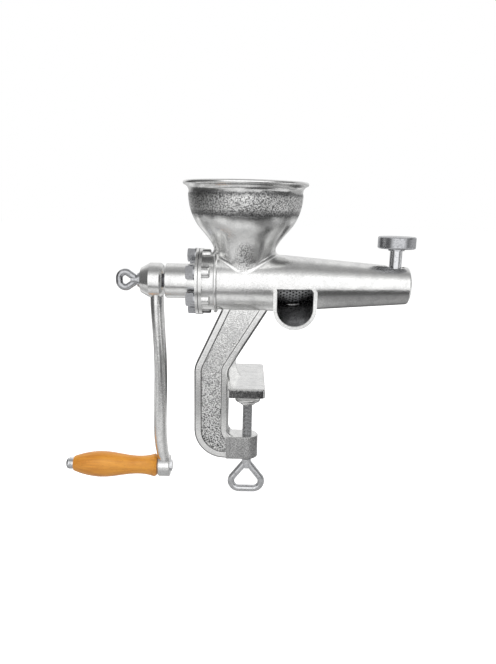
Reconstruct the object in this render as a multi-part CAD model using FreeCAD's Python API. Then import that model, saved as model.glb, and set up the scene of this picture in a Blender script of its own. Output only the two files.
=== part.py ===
"""Table-clamped hand-crank auger juicer in tinned cast iron, as an assembly of separate pieces.

The frame is right-handed, in millimetres. X runs from the crank towards the pulp outlet, Z is up,
and the juice chute points along -Y. The origin lies on the clamp screw's axis, at the underside of
the jaw that rests on the table.
"""
import FreeCAD, Part
import math
import os

V = FreeCAD.Vector

# Clearances
RUNNING = 0.05           # radial play of a turning or sliding fit
LOOSE = 0.4              # play between pieces that only pass each other
END_PLAY = 0.3           # axial play of a turning piece

# Barrel
AXIS_Z = 105.9           # barrel axis above the underside of the jaw
BARREL_R = 28.0
BARREL_START_X = -32.4
BARREL_TAPER_X = 33.0
BARREL_END_X = 156.5
BARREL_END_R = 18.4
BARREL_LIP = 2.0         # rounding of the outlet end
BORE_R = 21.0
BORE_TAPER_X = 18.0
BORE_END_R = 14.0
RIDGE_R = 31.0           # bead in front of the lugs
RIDGE_W = 3.4
COLLAR_LENGTH = 11.0     # from the bead to the flange
COLLAR_R = 28.4
FLANGE_T = 3.2
FLANGE_R = 33.0

# Hopper
HOPPER_X = -6.4
RIM_RISE = 97.3         # rim above the barrel axis
RIM_R = 60.7
RIM_BEAD = 4.0
BOWL_TOP_R = 55.6
BOWL_TOP_DROP = 12.2     # heights below the rim
BOWL_TAPER = 2.6         # how far the bowl's wall leans in from its top to its foot
BOWL_LOW_DROP = 28.3
SHOULDER_STEP = 5.6      # how far the shoulder lies within the bowl's foot
SHOULDER_DROP = 40.3
FUNNEL_R = 33.9
FUNNEL_DROP = 57.2
THROAT_R = 27.4
THROAT_DROP = 69.9
THROAT_LOW_R = 25.0      # at the barrel axis
HOPPER_WALL = 4.0
THROAT_WALL = 7.0
HOPPER_BLEND = 5.0       # rounding between the hopper and the barrel

# Juice chute and strainer
CHUTE_X = 41.8
CHUTE_W = 40.9
CHUTE_WALL = 3.6
CHUTE_REACH = 45.0       # lip in front of the barrel axis
CHUTE_TOP_DROP = 2.3     # heights below the barrel axis
CHUTE_LIP_DROP = 38.5    # underside of the lip
CHUTE_ROOT_DROP = 29.5   # underside where the chute leaves the barrel
CHUTE_ROOT_Y = 8.0
CHUTE_FALL = 5.0         # extra rise of the channel's inner end
GROOVE_DEPTH = 1.4
STRAINER_START_X = 20.0
STRAINER_LENGTH = 48.0
STRAINER_WALL = 1.0
HOLE_R = 0.9
HOLE_PITCH = 3.5
HOLE_COLUMNS = 11
HOLE_ROWS = 9
HOLE_AIM = 25.0          # degrees below the horizontal at the middle of the holes

# Arm, jaw and clamp boss
ARM_DEPTH = 20.0
ARM_WEB = 13.0
ARM_RIM = 7.7
ARM_BACK_X = -55.3
ARM_FRONT_X = -20.0
ARM_TOP_BACK_X = -28.3
ARM_TOP_FRONT_X = 17.2
ARM_ELBOW_Z = 19.2
ARM_LEAN = 0.3           # how far the back edge leans in towards the foot
ARM_FOOT_R = 31.4
ARM_ELBOW_R = 22.5
ARM_EDGE = 2.4           # rounding of the arm's outer edges
JAW_REACH = 16.5
JAW_WIDTH = 94.0
JAW_T = 9.0
JAW_CORNER = 4.0
GUSSET_T = 9.0
GUSSET_REACH = 19.0      # along the jaw, from the arm
GUSSET_HEIGHT = 22.0     # above the jaw
BOSS_R = 11.4
BOSS_BACK_X = -21.9      # flat back of the boss, on the arm
BOSS_DROP = 55.1         # top of the boss below the jaw's underside
BOSS_HEIGHT = 24.6
EDGE = 1.2               # rounding of small cast edges

# Clamp screw and pad
SCREW_R = 5.0
TABLE_GAP = 14.2         # jaw to pad, as the clamp stands
PAD_R = 13.0
PAD_T = 4.0
PAD_HUB_R = 8.0
PAD_HUB_T = 3.0
PAD_RECESS_R = 6.2
PAD_RECESS = 2.0
TIP_R = 3.5
TIP_HEAD_R = 5.5
TIP_HEAD_T = 1.2
CLAMP_EYE_GAP = 6.3      # eye below the boss
CLAMP_EYE_HEIGHT = 35.8
CLAMP_EYE_WIDTH = 39.6
CLAMP_EYE_WIRE = 7.3
CLAMP_EYE_BEND = 8.5     # bend of the lower corners, at the middle of the wire

# Rear cover and its bolts
GASKET_T = 0.6
COVER_FLANGE_T = 2.6
SPIGOT_LENGTH = 7.2      # from the flange into the bore
COVER_BOSS_R = 17.3
COVER_BOSS_LENGTH = 31.0
BUSH_R = 10.0
THRUST_T = 1.5
THRUST_R = 14.0
BOLT_COUNT = 6
BOLT_CIRCLE_R = 26.2
BOLT_TURN = 26.0         # degrees of the first bolt above the horizontal, on the chute side
BOLT_R = 4.0
BOLT_LENGTH = 14.0       # under the head
BOLT_FLATS = 12.6
BOLT_HEAD_T = 7.4
BOLT_WASHER_R = 7.2
BOLT_WASHER_T = 1.6
LUG_R = 6.4
LUG_LENGTH = 8.0

# Auger
SHAFT_R = 7.0
SQUARE = 10.0
SHAFT_SHORT = 2.7        # shaft end inside the hub's outer face
TAPPED_R = 4.0
TAPPED_DEPTH = 14.0
THRUST_COLLAR_R = 15.0
THRUST_COLLAR_T = 3.0
AUGER_CLEAR = 17.0       # auger nose to the throttle screw
AUGER_NOSE = 6.0
CORE_START_R = 8.6
CORE_END_R = 10.4
FLIGHT_PITCH = 26.0
FLIGHT_T = 4.0

# Crank
HUB_GAP = 2.7            # hub to the cover's boss
HUB_LENGTH = 22.0
HUB_R = 17.5
HUB_FACE_R = 12.5
HUB_BACK_R = 15.5
HUB_CHAMFER = 9.0
CRANK_R = 199.6
CRANK_T = 13.1           # along X
CRANK_TOP_W = 22.0       # along Y, at the hub
CRANK_LOW_W = 16.0
CRANK_TOP_SET = -6.4     # middle of the bar from the hub's back: at the hub, half way, above the boss, in it
CRANK_MID_SET = -3.8
CRANK_LOW_SET = -3.5
CRANK_END_SET = -0.7
CRANK_END_T = 11.6
CRANK_END_RISE = 20.0    # above the grip's axis, where the bar turns in to its boss
GRIP_BOSS_R = 11.4
GRIP_BOSS_SET = -7.0     # boss face from the hub's back
GRIP_BOSS_T = 12.3
EYE_WASHER_T = 1.5
EYE_WASHER_R = 8.5
EYE_COLLAR_R = 7.0
EYE_COLLAR_T = 2.0
EYE_LENGTH = 22.0
EYE_HEIGHT = 22.0
EYE_WIRE = 6.8

# Grip
PIN_R = 3.0
PIN_HEAD_R = 6.1
PIN_HEAD_T = 8.2
NUT_FLATS = 10.0
NUT_T = 2.2
GRIP_WASHER_T = 0.8
GRIP_WASHER_R = 7.5
GRIP_LENGTH = 89.4
GRIP_TIP_R = 7.8
GRIP_BELLY_R = 13.5
GRIP_WAIST_R = 9.6
GRIP_FLARE_R = 12.2

# Pulp throttle
THROTTLE_INSET = 13.3    # from the outlet's end
THROTTLE_R = 6.0
THROTTLE_TIP_RISE = 12.0 # heights above the barrel axis
SPOT_R = 10.0
SPOT_RISE = 17.6
KNOB_RISE = 36.7
KNOB_R = 18.4
KNOB_T = 11.6
KNOB_SOCKET = 7.0
KNOB_NECK_R = 8.0
KNOB_NECK_T = 2.0
KNOB_EDGE = 1.5

# Places that follow from the sizes above
RIM_Z = AXIS_Z + RIM_RISE
BOWL_LOW_R = BOWL_TOP_R - BOWL_TAPER
SHOULDER_R = BOWL_LOW_R - SHOULDER_STEP
RIDGE_START_X = BARREL_START_X - RIDGE_W
FLANGE_X = RIDGE_START_X - COLLAR_LENGTH
NECK_END_X = FLANGE_X - FLANGE_T
COVER_FACE_X = NECK_END_X - GASKET_T
COVER_BACK_X = COVER_FACE_X - COVER_FLANGE_T
COVER_END_X = COVER_BACK_X - COVER_BOSS_LENGTH
SPIGOT_END_X = COVER_FACE_X + SPIGOT_LENGTH
BOLT_HEAD_X = COVER_BACK_X - BOLT_WASHER_T
THRUST_COLLAR_X = SPIGOT_END_X + THRUST_T + END_PLAY
AUGER_START_X = THRUST_COLLAR_X + THRUST_COLLAR_T
THROTTLE_X = BARREL_END_X - THROTTLE_INSET
AUGER_END_X = THROTTLE_X - THROTTLE_R - AUGER_CLEAR
HUB_START_X = COVER_END_X - HUB_GAP
HUB_END_X = HUB_START_X - HUB_LENGTH
SHAFT_END_X = HUB_END_X + SHAFT_SHORT
GRIP_Z = AXIS_Z - CRANK_R
GRIP_BOSS_X = HUB_START_X + GRIP_BOSS_SET
GRIP_END_X = GRIP_BOSS_X - GRIP_WASHER_T - END_PLAY
GRIP_START_X = GRIP_END_X - GRIP_LENGTH
PAD_TOP_Z = -TABLE_GAP
PAD_FLOOR_Z = PAD_TOP_Z - PAD_RECESS
PAD_BOTTOM_Z = PAD_TOP_Z - PAD_T - PAD_HUB_T
BOSS_TOP_Z = -BOSS_DROP
BOSS_BOTTOM_Z = BOSS_TOP_Z - BOSS_HEIGHT
CLAMP_EYE_TOP_Z = BOSS_BOTTOM_Z - CLAMP_EYE_GAP
CHUTE_TOP_Z = AXIS_Z - CHUTE_TOP_DROP
CHUTE_LIP_Z = AXIS_Z - CHUTE_LIP_DROP
CHUTE_ROOT_Z = AXIS_Z - CHUTE_ROOT_DROP
SPOT_Z = AXIS_Z + SPOT_RISE
KNOB_Z = AXIS_Z + KNOB_RISE
BORE_SLOPE = (BORE_R - BORE_END_R) / (BARREL_END_X - BORE_TAPER_X)
BARREL_BOTTOM_Z = AXIS_Z - BARREL_R


def bore_radius(x):
    """Radius of the barrel's bore at x: a cylinder, then a straight taper to the outlet."""
    return BORE_R - BORE_SLOPE * max(0.0, x - BORE_TAPER_X)


def turned_x(profile, axis_z=AXIS_Z):
    """Solid of revolution about a line along X, from a closed outline of (x, radius) points."""
    points = [V(x, 0, axis_z + r) for x, r in profile]
    outline = Part.makePolygon(points + points[:1])
    return Part.Face(outline).revolve(V(0, 0, axis_z), V(1, 0, 0), 360)


def rod_x(start, end, radius, axis_z=AXIS_Z):
    """Round rod along X."""
    return Part.makeCylinder(radius, end - start, V(start, 0, axis_z), V(1, 0, 0))


def ring_x(start, end, outer, inner, axis_z=AXIS_Z):
    """Plain ring along X."""
    return rod_x(start, end, outer, axis_z).cut(rod_x(start, end, inner, axis_z))


def rod_z(x, low, high, radius):
    """Round rod along Z, in the middle plane."""
    return Part.makeCylinder(radius, high - low, V(x, 0, low))


def rounded_outline(corners):
    """Closed wire in the XZ plane through (x, z, radius) corners, each rounded by a tangent arc."""
    edges = []
    ends = []
    count = len(corners)
    for i, (x, z, radius) in enumerate(corners):
        corner = V(x, 0, z)
        before = (V(corners[i - 1][0], 0, corners[i - 1][1]) - corner).normalize()
        after = (V(corners[(i + 1) % count][0], 0, corners[(i + 1) % count][1]) - corner).normalize()
        if radius == 0:
            ends.append((corner, corner, None))
            continue
        half = before.getAngle(after) / 2
        reach = radius / math.tan(half)
        bisector = (before + after).normalize()
        middle = corner + bisector * (radius / math.sin(half) - radius)
        ends.append((corner + before * reach, corner + after * reach, middle))
    for i, (start, end, middle) in enumerate(ends):
        if middle is not None:
            edges.append(Part.Arc(start, middle, end).toShape())
        following = ends[(i + 1) % count][0]
        if end.distanceToPoint(following) > 1e-6:
            edges.append(Part.makeLine(end, following))
    return Part.Wire(Part.__sortEdges__(edges))


def plate_xz(wire, depth, middle_y=0.0):
    """Plate of the given depth along Y, centred on middle_y, with an outline in the XZ plane."""
    face = Part.Face(wire)
    face.translate(V(0, middle_y - depth / 2, 0))
    return face.extrude(V(0, depth, 0))


def smooth(points, start_way=None, end_way=None):
    """One smooth curve through the points, with given directions at its ends or free ones."""
    curve = Part.BSplineCurve()
    if start_way is None:
        curve.interpolate(points)
    else:
        curve.interpolate(Points=points, InitialTangent=start_way, FinalTangent=end_way)
    return curve.toShape()


def edges_where(shape, test):
    """The edges whose middle passes the test."""
    return [e for e in shape.Edges if test(e.valueAt((e.FirstParameter + e.LastParameter) / 2), e)]


def hopper_outline(inset, throat_inset):
    """Half section of the hopper, one curve from under the rim down to the barrel axis, set in by a wall."""
    places = [
        (BOWL_TOP_R - inset, RIM_Z - BOWL_TOP_DROP),
        (BOWL_LOW_R - inset, RIM_Z - BOWL_LOW_DROP),
        (SHOULDER_R - inset, RIM_Z - SHOULDER_DROP),
        (FUNNEL_R - throat_inset, RIM_Z - FUNNEL_DROP),
        (THROAT_R - throat_inset, RIM_Z - THROAT_DROP),
        (THROAT_LOW_R - throat_inset, AXIS_Z),
    ]
    curve = smooth([V(HOPPER_X + r, 0, z) for r, z in places], V(0, 0, -1), V(0, 0, -1))
    return curve, curve.valueAt(curve.FirstParameter), curve.valueAt(curve.LastParameter)


def hopper_outside():
    """Bell of the hopper with its beaded rim and the throat that runs into the barrel."""
    curve, top, low = hopper_outline(0, 0)
    bead_r = RIM_BEAD / 2
    bead_low = V(HOPPER_X + RIM_R - bead_r, 0, RIM_Z - RIM_BEAD)
    bead_side = V(HOPPER_X + RIM_R, 0, RIM_Z - bead_r)
    bead_top = V(HOPPER_X + RIM_R - bead_r, 0, RIM_Z)
    cove = V(HOPPER_X + (RIM_R + BOWL_TOP_R - bead_r) / 2 - bead_r / 2, 0, RIM_Z - RIM_BEAD * 1.6)
    edges = [
        Part.makeLine(V(HOPPER_X, 0, RIM_Z), bead_top),
        Part.Arc(bead_top, bead_side, bead_low).toShape(),
        Part.Arc(bead_low, cove, top).toShape(),
        curve,
        Part.makeLine(low, V(HOPPER_X, 0, AXIS_Z)),
        Part.makeLine(V(HOPPER_X, 0, AXIS_Z), V(HOPPER_X, 0, RIM_Z)),
    ]
    return Part.Face(Part.Wire(edges)).revolve(V(HOPPER_X, 0, 0), V(0, 0, 1), 360)


def hopper_inside():
    """Hollow of the hopper, open at the rim and down into the bore."""
    curve, top, low = hopper_outline(HOPPER_WALL, THROAT_WALL)
    mouth = V(HOPPER_X + RIM_R - RIM_BEAD, 0, RIM_Z)
    above = V(HOPPER_X, 0, RIM_Z + RIM_BEAD)
    edges = [
        Part.makeLine(above, V(mouth.x, 0, above.z)),
        Part.makeLine(V(mouth.x, 0, above.z), mouth),
        Part.makeLine(mouth, top),
        curve,
        Part.makeLine(low, V(HOPPER_X, 0, AXIS_Z)),
        Part.makeLine(V(HOPPER_X, 0, AXIS_Z), above),
    ]
    return Part.Face(Part.Wire(edges)).revolve(V(HOPPER_X, 0, 0), V(0, 0, 1), 360)


def bolt_places():
    """Turns, in radians, and the places in the YZ plane of the bolts around the barrel axis."""
    places = []
    for i in range(BOLT_COUNT):
        turn = math.radians(BOLT_TURN + i * 360.0 / BOLT_COUNT)
        places.append((turn, -BOLT_CIRCLE_R * math.cos(turn), AXIS_Z + BOLT_CIRCLE_R * math.sin(turn)))
    return places


def bolt_rods(start, end, radius):
    """One round rod along X at each bolt."""
    return [Part.makeCylinder(radius, end - start, V(start, y, z), V(1, 0, 0)) for turn, y, z in bolt_places()]


def barrel_outside():
    """Cylinder and cone of the barrel, with a rounded outlet end."""
    solid = turned_x([
        (NECK_END_X, 0), (NECK_END_X, BARREL_R), (BARREL_TAPER_X, BARREL_R), (BARREL_END_X, BARREL_END_R),
        (BARREL_END_X, 0),
    ])
    outlet = edges_where(solid, lambda p, e: p.x > BARREL_END_X - EDGE and e.Length > BARREL_END_R)
    return solid.makeFillet(BARREL_LIP, outlet)


def hopper_on_barrel():
    """Barrel and hopper in one, blended where they meet."""
    solid = barrel_outside().fuse(hopper_outside())

    def seam(p, e):
        off_axis = math.hypot(p.y, p.z - AXIS_Z)
        straight = e.Curve.TypeId == "Part::GeomLine"
        return abs(off_axis - BARREL_R) < 1e-3 and abs(p.x - HOPPER_X) < SHOULDER_R and not straight
    return solid.makeFillet(HOPPER_BLEND, edges_where(solid, seam))


def barrel_rear():
    """Bead, collar and flange around the barrel's rear end, with a lug for each bolt."""
    solid = turned_x([
        (NECK_END_X, 0), (NECK_END_X, FLANGE_R), (FLANGE_X, FLANGE_R), (FLANGE_X, COLLAR_R),
        (RIDGE_START_X, COLLAR_R), (RIDGE_START_X, RIDGE_R), (BARREL_START_X, RIDGE_R), (BARREL_START_X, 0),
    ])
    bead = edges_where(solid, lambda p, e: p.x > RIDGE_START_X - EDGE
                       and e.Length > 2 * math.pi * (RIDGE_R - EDGE))
    solid = solid.makeFillet(EDGE, bead)
    for lug in bolt_rods(FLANGE_X - FLANGE_T / 2, FLANGE_X + LUG_LENGTH, LUG_R):
        dome = edges_where(lug, lambda p, e: p.x > FLANGE_X + LUG_LENGTH - EDGE and e.Length > LUG_R)
        solid = solid.fuse(lug.makeFillet(LUG_R / 3, dome))
    return solid


def barrel_inside():
    """Bore of the barrel, with the groove that gathers juice behind the strainer."""
    profile = [
        (NECK_END_X, 0), (NECK_END_X, BORE_R), (BORE_TAPER_X, BORE_R), (BARREL_END_X, BORE_END_R),
        (BARREL_END_X, 0),
    ]
    inner_w = CHUTE_W - 2 * CHUTE_WALL
    start = CHUTE_X - inner_w / 2
    end = CHUTE_X + inner_w / 2
    groove = turned_x([
        (start, 0), (start, bore_radius(start) + GROOVE_DEPTH),
        (end, bore_radius(end) + GROOVE_DEPTH), (end, 0),
    ])
    return turned_x(profile).fuse(groove)


def trough_section(y, width, bottom_z, top_z):
    """U-shaped wire across the chute, closed along its top."""
    half = width / 2
    centre_z = bottom_z + half
    left_top = V(CHUTE_X - half, y, top_z)
    left = V(CHUTE_X - half, y, centre_z)
    bottom = V(CHUTE_X, y, bottom_z)
    right = V(CHUTE_X + half, y, centre_z)
    right_top = V(CHUTE_X + half, y, top_z)
    return Part.Wire([
        Part.makeLine(left_top, left),
        Part.Arc(left, bottom, right).toShape(),
        Part.makeLine(right, right_top),
        Part.makeLine(right_top, left_top),
    ])


def chute_outside():
    """Open trough that leads the juice away from the barrel, falling towards its lip."""
    lip = trough_section(-CHUTE_REACH, CHUTE_W, CHUTE_LIP_Z, CHUTE_TOP_Z)
    root = trough_section(-CHUTE_ROOT_Y, CHUTE_W, CHUTE_ROOT_Z, CHUTE_TOP_Z)
    return Part.makeLoft([lip, root], True, True)


def chute_inside():
    """Channel of the chute, cut through the barrel's wall to the strainer and open along its top."""
    width = CHUTE_W - 2 * CHUTE_WALL
    over = CHUTE_WALL
    top_z = CHUTE_TOP_Z + over
    lip_z = CHUTE_LIP_Z + CHUTE_WALL
    root_z = CHUTE_ROOT_Z + CHUTE_WALL + CHUTE_FALL
    fall = (root_z - lip_z) / (CHUTE_REACH - CHUTE_ROOT_Y)
    lip = trough_section(-CHUTE_REACH - over, width, lip_z - fall * over, top_z)
    root = trough_section(-CHUTE_ROOT_Y, width, root_z, top_z)
    channel = Part.makeLoft([lip, root], True, True)
    above = Part.makeBox(width, CHUTE_REACH, BARREL_R, V(CHUTE_X - width / 2, -CHUTE_REACH, CHUTE_TOP_Z))
    return channel.cut(above)


def front_edge_x(z):
    """Place of the arm's slanted front edge at height z."""
    foot_z = JAW_T + ARM_RIM
    slope = (ARM_TOP_FRONT_X - ARM_FRONT_X) / (BARREL_BOTTOM_Z - foot_z)
    return ARM_FRONT_X + slope * (z - foot_z)


def back_edge_x(z):
    """Place of the arm's slanted back edge at height z."""
    slope = (ARM_TOP_BACK_X - ARM_BACK_X) / (BARREL_BOTTOM_Z - ARM_ELBOW_Z)
    return ARM_BACK_X + slope * (z - ARM_ELBOW_Z)


def arm_corners():
    """Corners of the arm's side view: slanted from the barrel to the elbow, then down to the foot."""
    top_z = BARREL_BOTTOM_Z + BARREL_R / 2
    return [
        (back_edge_x(top_z), top_z, 0),
        (ARM_BACK_X, ARM_ELBOW_Z, ARM_ELBOW_R),
        (ARM_BACK_X + ARM_LEAN, BOSS_BOTTOM_Z, ARM_FOOT_R),
        (0, BOSS_BOTTOM_Z, 0),
        (0, BOSS_TOP_Z, 0),
        (ARM_FRONT_X, BOSS_TOP_Z, ARM_RIM),
        (ARM_FRONT_X, JAW_T + ARM_RIM, ARM_RIM),
        (front_edge_x(top_z), top_z, 0),
    ]


def arm():
    """Arm with a recessed panel in each side, so that its section is a broad I."""
    outline = rounded_outline(arm_corners())
    bar = plate_xz(outline, ARM_DEPTH)
    panel = Part.Face(outline).makeOffset2D(-ARM_RIM).Wires[0]
    pocket = (ARM_DEPTH - ARM_WEB) / 2
    face_y = ARM_DEPTH / 2
    bar = bar.makeFillet(ARM_EDGE, edges_where(bar, lambda p, e: abs(abs(p.y) - face_y) < 1e-6))
    for side in (-1, 1):
        bar = bar.cut(plate_xz(panel, pocket, side * (ARM_DEPTH - pocket) / 2))
    return bar.makeFillet(EDGE, edges_where(bar, lambda p, e: abs(abs(p.y) - face_y) < 1e-6
                                            and abs(p.x - ARM_BACK_X) > ARM_EDGE + EDGE))


def jaw():
    """Flat jaw that rests on the table, with a small hollow-faced gusset up to the arm."""
    length = JAW_REACH - ARM_FRONT_X
    plate = Part.makeBox(length, JAW_WIDTH, JAW_T, V(ARM_FRONT_X, -JAW_WIDTH / 2, 0))
    upright = edges_where(plate, lambda p, e: abs(p.z - JAW_T / 2) < 1e-6)
    plate = plate.makeFillet(JAW_CORNER, upright)
    rim = edges_where(plate, lambda p, e: p.z > JAW_T - 1e-6)
    plate = plate.makeFillet(JAW_CORNER / 2, rim)
    corner = V(ARM_FRONT_X, 0, JAW_T / 2)
    toe = V(ARM_FRONT_X + GUSSET_REACH, 0, JAW_T / 2)
    top = V(front_edge_x(JAW_T + GUSSET_HEIGHT), 0, JAW_T + GUSSET_HEIGHT)
    heel = V(ARM_FRONT_X, 0, top.z)
    hollow = (toe + top) * 0.35 + V(front_edge_x(JAW_T), 0, JAW_T) * 0.3
    wire = Part.Wire([
        Part.makeLine(corner, toe), Part.Arc(toe, hollow, top).toShape(),
        Part.makeLine(top, heel), Part.makeLine(heel, corner),
    ])
    return plate.fuse(plate_xz(wire, GUSSET_T))


def clamp_boss():
    """Boss at the arm's foot that takes the clamp screw: round in front, flat at its back on the arm."""
    block = Part.makeBox(-BOSS_BACK_X, 2 * BOSS_R, BOSS_HEIGHT, V(BOSS_BACK_X, -BOSS_R, BOSS_BOTTOM_Z))
    boss = block.fuse(rod_z(0, BOSS_BOTTOM_Z, BOSS_TOP_Z, BOSS_R)).removeSplitter()
    rims = edges_where(boss, lambda p, e: p.z > BOSS_TOP_Z - 1e-6 or p.z < BOSS_BOTTOM_Z + 1e-6)
    return boss.makeFillet(EDGE, rims)


def body_casting():
    """One casting: barrel, hopper, chute, arm, jaw and clamp boss."""
    solid = hopper_on_barrel()
    for piece in (barrel_rear(), chute_outside(), arm(), jaw(), clamp_boss()):
        solid = solid.fuse(piece)
    solid = solid.cut(barrel_inside())
    solid = solid.cut(hopper_inside())
    solid = solid.cut(chute_inside())
    solid = solid.cut(rod_z(THROTTLE_X, SPOT_Z, KNOB_Z, SPOT_R))
    solid = solid.cut(rod_z(THROTTLE_X, AXIS_Z, KNOB_Z, THROTTLE_R + RUNNING))
    solid = solid.cut(rod_z(0, BOSS_BOTTOM_Z, BOSS_TOP_Z, SCREW_R + RUNNING))
    for hole in bolt_rods(NECK_END_X, BOLT_HEAD_X + BOLT_LENGTH + LOOSE, BOLT_R + RUNNING):
        solid = solid.cut(hole)
    return solid.removeSplitter()


def strainer():
    """Tapered sleeve of perforated sheet that fits the bore, with its holes towards the chute."""
    end_x = STRAINER_START_X + STRAINER_LENGTH
    start_r = bore_radius(STRAINER_START_X) - RUNNING
    end_r = bore_radius(end_x) - RUNNING
    sleeve = turned_x([
        (STRAINER_START_X, start_r), (end_x, end_r),
        (end_x, end_r - STRAINER_WALL), (STRAINER_START_X, start_r - STRAINER_WALL),
    ])
    column_step = HOLE_PITCH * math.sqrt(3) / 2
    turn_step = math.degrees(HOLE_PITCH / bore_radius(CHUTE_X))
    drills = []
    for column in range(HOLE_COLUMNS):
        x = CHUTE_X + (column - (HOLE_COLUMNS - 1) / 2) * column_step
        for row in range(HOLE_ROWS):
            turn = (row - (HOLE_ROWS - 1) / 2 + (column % 2) / 2) * turn_step + HOLE_AIM
            direction = V(0, -math.cos(math.radians(turn)), -math.sin(math.radians(turn)))
            base = V(x, 0, AXIS_Z) + direction * (BORE_END_R - STRAINER_WALL)
            drills.append(Part.makeCylinder(HOLE_R, BORE_R, base, direction))
    return sleeve.cut(Part.makeCompound(drills))


def bearing_cover():
    """Rear cover: bolted flange, spigot in the bore and the long bearing boss."""
    solid = turned_x([
        (COVER_END_X, 0), (COVER_END_X, COVER_BOSS_R), (COVER_BACK_X, COVER_BOSS_R),
        (COVER_BACK_X, FLANGE_R), (COVER_FACE_X, FLANGE_R), (COVER_FACE_X, BORE_R - RUNNING),
        (SPIGOT_END_X, BORE_R - RUNNING), (SPIGOT_END_X, 0),
    ])
    face = edges_where(solid, lambda p, e: p.x < COVER_END_X + 1e-6 and e.Length > COVER_BOSS_R)
    solid = solid.makeFillet(EDGE, face)
    for hole in bolt_rods(COVER_BACK_X, COVER_FACE_X, BOLT_R + RUNNING):
        solid = solid.cut(hole)
    return solid.cut(rod_x(COVER_END_X, SPIGOT_END_X, BUSH_R))


def bearing_bush():
    """Plain bush in the cover that the auger's shaft turns in."""
    return ring_x(COVER_END_X, SPIGOT_END_X, BUSH_R, SHAFT_R + RUNNING)


def cover_gasket():
    """Flat seal between the barrel's flange and the cover's flange, holed for the bolts."""
    seal = ring_x(COVER_FACE_X, NECK_END_X, FLANGE_R - LOOSE, BORE_R + RUNNING)
    for hole in bolt_rods(COVER_FACE_X, NECK_END_X, BOLT_R + RUNNING):
        seal = seal.cut(hole)
    return seal


def cover_bolts():
    """Hexagon bolts that hold the cover, each a separate solid."""
    corner = BOLT_FLATS / math.sqrt(3)
    start = BOLT_HEAD_X - BOLT_HEAD_T
    crown = turned_x([
        (start, 0), (start, BOLT_FLATS / 2), (start + EDGE / 2, corner), (BOLT_HEAD_X, corner),
        (BOLT_HEAD_X, 0),
    ])
    bolts = []
    for turn, y, z in bolt_places():
        points = []
        for i in range(7):
            angle = math.radians(60 * i)
            points.append(V(start, -corner * math.cos(angle), AXIS_Z + corner * math.sin(angle)))
        head = Part.Face(Part.makePolygon(points)).extrude(V(BOLT_HEAD_T, 0, 0)).common(crown)
        bolt = head.fuse(rod_x(BOLT_HEAD_X, BOLT_HEAD_X + BOLT_LENGTH, BOLT_R))
        bolt.translate(V(0, y, z - AXIS_Z))
        bolts.append(bolt)
    return Part.makeCompound([solid for bolt in bolts for solid in bolt.Solids])


def cover_washers():
    """Washers under the bolt heads, each a separate solid."""
    washers = []
    for outer, inner in zip(bolt_rods(BOLT_HEAD_X, COVER_BACK_X, BOLT_WASHER_R),
                            bolt_rods(BOLT_HEAD_X, COVER_BACK_X, BOLT_R + RUNNING)):
        washers += outer.cut(inner).Solids
    return Part.makeCompound(washers)


def thrust_washer():
    """Washer that takes the auger's push against the cover."""
    return ring_x(SPIGOT_END_X, SPIGOT_END_X + THRUST_T, THRUST_R, SHAFT_R + RUNNING)


def auger_envelope():
    """Room that the turning flights may fill: inside the bore and the strainer."""
    start_r = bore_radius(STRAINER_START_X) - RUNNING - STRAINER_WALL - LOOSE
    end_r = bore_radius(AUGER_END_X) - RUNNING - STRAINER_WALL - LOOSE
    return turned_x([
        (THRUST_COLLAR_X, 0), (THRUST_COLLAR_X, start_r), (STRAINER_START_X, start_r),
        (AUGER_END_X, end_r), (AUGER_END_X, 0),
    ])


def auger_flight():
    """Helical flight with a flat outer land, trimmed to the tapering room around it."""
    length = AUGER_END_X - AUGER_START_X - AUGER_NOSE
    inner = CORE_START_R - FLIGHT_T / 2
    outer = BORE_R + FLIGHT_T / 2
    helix = Part.makeLongHelix(FLIGHT_PITCH, length, (inner + outer) / 2)
    half = FLIGHT_T / 2
    section = Part.makePolygon([
        V(inner, 0, -half * 1.3), V(outer, 0, -half * 0.7), V(outer, 0, half * 0.7),
        V(inner, 0, half * 1.3), V(inner, 0, -half * 1.3),
    ])
    flight = Part.Wire(helix.Edges).makePipeShell([section], True, True)
    flight.rotate(V(0, 0, 0), V(0, 1, 0), 90)
    flight.translate(V(AUGER_START_X + half, 0, AXIS_Z))
    return flight.common(auger_envelope())


def auger():
    """Feed screw in one piece with its shaft: collar, bearing length, square end and tapped hole."""
    core = turned_x([
        (HUB_START_X, 0), (HUB_START_X, SHAFT_R), (THRUST_COLLAR_X, SHAFT_R),
        (THRUST_COLLAR_X, THRUST_COLLAR_R), (AUGER_START_X, THRUST_COLLAR_R), (AUGER_START_X, CORE_START_R),
        (AUGER_END_X - AUGER_NOSE, CORE_END_R), (AUGER_END_X, CORE_END_R / 2), (AUGER_END_X, 0),
    ])
    half = SQUARE / 2
    tang = Part.makeBox(HUB_START_X - SHAFT_END_X, SQUARE, SQUARE, V(SHAFT_END_X, -half, AXIS_Z - half))
    solid = core.fuse(tang).fuse(auger_flight())
    solid = solid.cut(rod_x(SHAFT_END_X, SHAFT_END_X + TAPPED_DEPTH, TAPPED_R))
    return solid.removeSplitter()


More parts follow.
